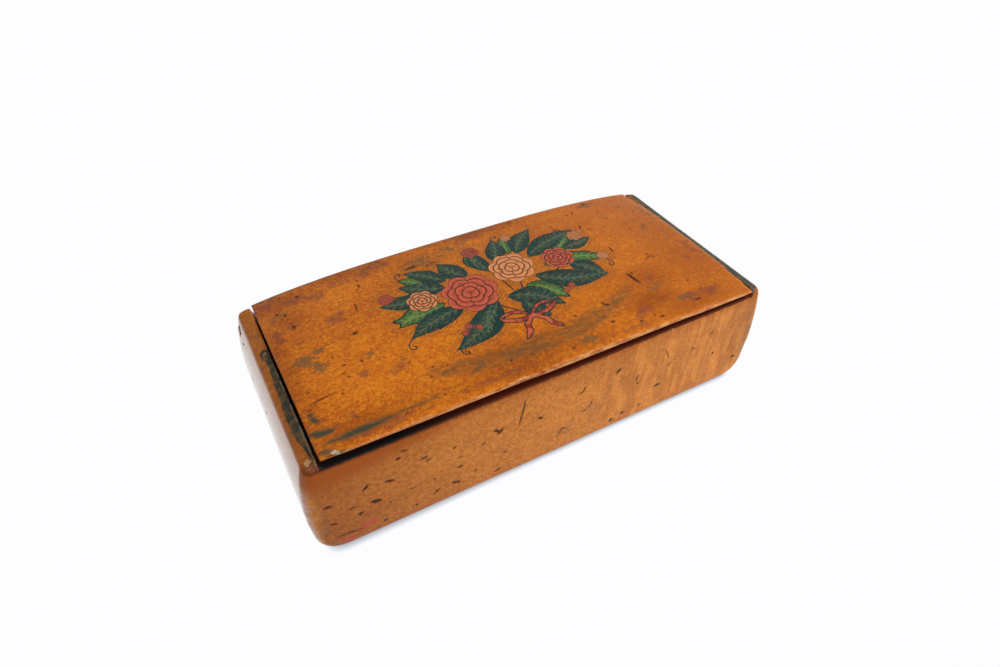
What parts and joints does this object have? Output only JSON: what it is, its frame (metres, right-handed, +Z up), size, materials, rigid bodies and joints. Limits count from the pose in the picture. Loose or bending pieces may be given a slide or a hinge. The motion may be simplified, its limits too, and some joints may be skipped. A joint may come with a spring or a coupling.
{
  "type": "snuff box",
  "caption": "Carved wooden snuff box with an arched lid between raised end walls, turning on a hidden wooden knuckle hinge along the back, over a well lined with metal sheet.",
  "frame": {"origin": "middle of the underside that the box rests on", "axes": "+X to the right end, -Y to the opening side, +Y to the hinge, +Z up"},
  "size_m": [0.089, 0.0398, 0.0246],
  "materials": {
    "body_wood": "worn honey-orange varnish on sycamore",
    "lid_wood": "worn honey-orange varnish on sycamore, with a painted vignette",
    "plug_wood": "varnished end grain",
    "pin_brass": "dull drawn wire",
    "lining_sheet": "dull grey tin-lead sheet with a darkened patina"
  },
  "bodies": {
    "box": {"box_body": "body_wood", "hinge_pin": "pin_brass", "pin_plug_left": "plug_wood", "pin_plug_right": "plug_wood", "lining_floor": "lining_sheet", "lining_front": "lining_sheet", "lining_back": "lining_sheet", "lining_left": "lining_sheet", "lining_right": "lining_sheet"},
    "lid": {"lid": "lid_wood", "lining_lid": "lining_sheet"}
  },
  "joints": [
    {"name": "lid_hinge", "type": "hinge", "parent": "box", "child": "lid", "pos_m": [0, 0.0176, 0.01875], "axis": [-1, 0, 0], "range_deg": [0, 95]}
  ]
}
